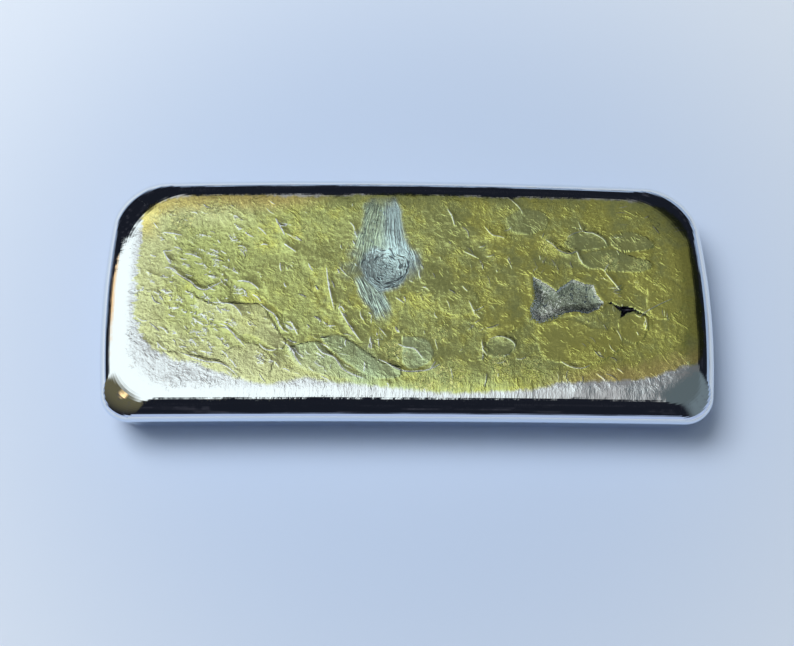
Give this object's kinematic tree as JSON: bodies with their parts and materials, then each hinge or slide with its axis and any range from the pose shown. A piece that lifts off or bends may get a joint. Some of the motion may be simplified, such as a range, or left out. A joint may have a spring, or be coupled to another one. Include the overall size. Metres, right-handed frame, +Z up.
{
  "type": "metal ingot",
  "caption": "Small bright cast metal ingot with a rounded meniscus shoulder, drafted walls and a wrinkled, straw-tinted frozen top",
  "frame": {"origin": "under the middle of the base, on the surface that the bar lies on", "axes": "+X along the bar, +Y across it towards the more rounded pair of corners, +Z up from the base to the cast top"},
  "size_m": [0.15, 0.0639, 0.0157],
  "materials": {
    "bright_metal": "as-cast mirror-bright metal, thin straw to olive oxide film on the frozen top"
  },
  "bodies": {
    "root": {"ingot": "bright_metal"}
  },
  "joints": []
}
